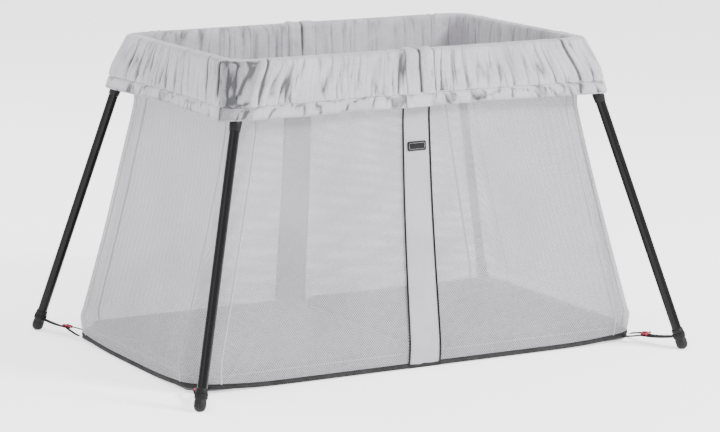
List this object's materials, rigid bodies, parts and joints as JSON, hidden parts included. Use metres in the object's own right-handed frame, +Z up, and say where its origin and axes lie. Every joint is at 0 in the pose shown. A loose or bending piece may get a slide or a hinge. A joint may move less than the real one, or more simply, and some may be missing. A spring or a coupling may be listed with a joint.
{
  "type": "travel play yard",
  "caption": "Folding play yard: an open fabric tub with net walls hung from a hinged rim frame on splayed folding legs, with a soft floor, a fold-up mattress and foot straps.",
  "frame": {"origin": "middle of the footprint, on the floor", "axes": "+X along the long sides, -Y towards the front long side, +Z up"},
  "size_m": [1.125, 0.8266, 0.64],
  "materials": {
    "tube": "satin black painted steel tube",
    "black_plastic": "satin black moulded plastic",
    "foot_rubber": "matt black rubber",
    "steel_pin": "zinc plated steel",
    "lock_button": "grey moulded plastic",
    "rim_cover": "silver-grey woven polyester with a slight sheen",
    "mesh_wall": "light grey open net",
    "centre_strap": "light grey woven band with black piping",
    "floor_fabric": "coated dark grey base fabric",
    "mattress": "light grey padded cotton jersey",
    "webbing": "black polypropylene webbing",
    "hook": "crimson moulded plastic"
  },
  "bodies": {
    "centre_hinges": {"hinge_block_front": "black_plastic", "hinge_block_back": "black_plastic", "hinge_pin_front_left": "steel_pin", "hinge_pin_front_right": "steel_pin", "hinge_pin_back_left": "steel_pin", "hinge_pin_back_right": "steel_pin", "cover_centre_front": "rim_cover", "cover_centre_back": "rim_cover", "centre_strap_front": "centre_strap", "centre_strap_back": "centre_strap", "floor_centre": "floor_fabric"},
    "left_frame": {"rail_end_left": "tube", "wall_end_left": "mesh_wall", "cover_left": "rim_cover", "floor_left": "floor_fabric", "rail_front_left": "tube", "corner_front_left": "black_plastic", "wall_front_left": "mesh_wall", "leg_pin_front_left": "steel_pin", "rail_back_left": "tube", "corner_back_left": "black_plastic", "wall_back_left": "mesh_wall", "leg_pin_back_left": "steel_pin"},
    "right_frame": {"rail_end_right": "tube", "wall_end_right": "mesh_wall", "cover_right": "rim_cover", "floor_right": "floor_fabric", "rail_front_right": "tube", "corner_front_right": "black_plastic", "wall_front_right": "mesh_wall", "leg_pin_front_right": "steel_pin", "rail_back_right": "tube", "corner_back_right": "black_plastic", "wall_back_right": "mesh_wall", "leg_pin_back_right": "steel_pin"},
    "lock_front": {"lock_button_front": "lock_button"},
    "lock_back": {"lock_button_back": "lock_button"},
    "mattress_left_half": {"mattress_left": "mattress"},
    "mattress_right_half": {"mattress_right": "mattress"},
    "leg_front_left": {"leg_head_front_left": "black_plastic", "leg_tube_front_left": "tube", "foot_front_left": "foot_rubber"},
    "strap_front_left": {"foot_strap_front_left": "webbing", "strap_hook_front_left": "hook"},
    "leg_front_right": {"leg_head_front_right": "black_plastic", "leg_tube_front_right": "tube", "foot_front_right": "foot_rubber"},
    "strap_front_right": {"foot_strap_front_right": "webbing", "strap_hook_front_right": "hook"},
    "leg_back_left": {"leg_head_back_left": "black_plastic", "leg_tube_back_left": "tube", "foot_back_left": "foot_rubber"},
    "strap_back_left": {"foot_strap_back_left": "webbing", "strap_hook_back_left": "hook"},
    "leg_back_right": {"leg_head_back_right": "black_plastic", "leg_tube_back_right": "tube", "foot_back_right": "foot_rubber"},
    "strap_back_right": {"foot_strap_back_right": "webbing", "strap_hook_back_right": "hook"}
  },
  "joints": [
    {"name": "frame_fold_left", "type": "hinge", "parent": "centre_hinges", "child": "left_frame", "pos_m": [-0.03, 0, 0.625], "axis": [0, -1, 0], "range_deg": [0, 82], "deforming": ["cover_centre_front", "cover_centre_back", "centre_strap_front", "centre_strap_back", "floor_centre", "wall_end_left", "cover_left", "floor_left", "wall_front_left", "wall_back_left", "wall_end_right", "cover_right", "floor_right", "wall_front_right", "wall_back_right", "mattress_left", "mattress_right"]},
    {"name": "frame_fold_right", "type": "hinge", "parent": "centre_hinges", "child": "right_frame", "pos_m": [0.03, 0, 0.625], "axis": [0, 1, 0], "range_deg": [0, 82.5]},
    {"name": "leg_fold_front_left", "type": "hinge", "parent": "left_frame", "child": "leg_front_left", "pos_m": [-0.4007, -0.2722, 0.57], "axis": [0.9544, 0.1045, -0.2796], "range_deg": [0, 103]},
    {"name": "strap_fold_front_left", "type": "hinge", "parent": "leg_front_left", "child": "strap_front_left", "pos_m": [-0.54124, -0.38463, 0.0232], "axis": [-0.7107, 0.4381, 0.5504], "range_deg": [0, 54.5]},
    {"name": "leg_fold_front_right", "type": "hinge", "parent": "right_frame", "child": "leg_front_right", "pos_m": [0.4007, -0.2722, 0.57], "axis": [0.9665, 0.1045, 0.2346], "range_deg": [0, 103]},
    {"name": "strap_fold_front_right", "type": "hinge", "parent": "leg_front_right", "child": "strap_front_right", "pos_m": [0.54124, -0.38463, 0.0232], "axis": [0.6095, 0.4377, 0.661], "range_deg": [0, 48.5]},
    {"name": "leg_fold_back_left", "type": "hinge", "parent": "left_frame", "child": "leg_back_left", "pos_m": [-0.4007, 0.2722, 0.57], "axis": [-0.9665, -0.1045, 0.2346], "range_deg": [0, 103]},
    {"name": "strap_fold_back_left", "type": "hinge", "parent": "leg_back_left", "child": "strap_back_left", "pos_m": [-0.54124, 0.38463, 0.0232], "axis": [-0.6095, -0.4377, 0.661], "range_deg": [0, 48.5]},
    {"name": "leg_fold_back_right", "type": "hinge", "parent": "right_frame", "child": "leg_back_right", "pos_m": [0.4007, 0.2722, 0.57], "axis": [-0.9544, -0.1045, -0.2796], "range_deg": [0, 103]},
    {"name": "strap_fold_back_right", "type": "hinge", "parent": "leg_back_right", "child": "strap_back_right", "pos_m": [0.54124, 0.38463, 0.0232], "axis": [0.7107, -0.4381, 0.5504], "range_deg": [0, 54.5]},
    {"name": "lock_press_front", "type": "slide", "parent": "centre_hinges", "child": "lock_front", "axis": [0, 1, 0], "range_m": [0, 0.003], "stiffness_N_per_m": 400, "springref_m": -0.002},
    {"name": "lock_press_back", "type": "slide", "parent": "centre_hinges", "child": "lock_back", "axis": [0, -1, 0], "range_m": [0, 0.003], "stiffness_N_per_m": 400, "springref_m": -0.002},
    {"name": "mattress_lift", "type": "slide", "parent": "centre_hinges", "child": "mattress_left_half", "axis": [0, 0, 1], "range_m": [0, 0.68]},
    {"name": "mattress_fold", "type": "hinge", "parent": "mattress_left_half", "child": "mattress_right_half", "pos_m": [0, 0, 0.0415], "axis": [0, -1, 0], "range_deg": [0, 178]}
  ],
  "couplings": [
    {"joint": "frame_fold_right", "follows": "frame_fold_left", "ratio": 1},
    {"joint": "leg_fold_front_left", "follows": "frame_fold_left", "ratio": 1.25},
    {"joint": "strap_fold_front_left", "follows": "frame_fold_left", "ratio": 0.65854},
    {"joint": "leg_fold_front_right", "follows": "frame_fold_left", "ratio": 1.25},
    {"joint": "strap_fold_front_right", "follows": "frame_fold_left", "ratio": 0.58537},
    {"joint": "leg_fold_back_left", "follows": "frame_fold_left", "ratio": 1.25},
    {"joint": "strap_fold_back_left", "follows": "frame_fold_left", "ratio": 0.58537},
    {"joint": "leg_fold_back_right", "follows": "frame_fold_left", "ratio": 1.25},
    {"joint": "strap_fold_back_right", "follows": "frame_fold_left", "ratio": 0.65854}
  ]
}
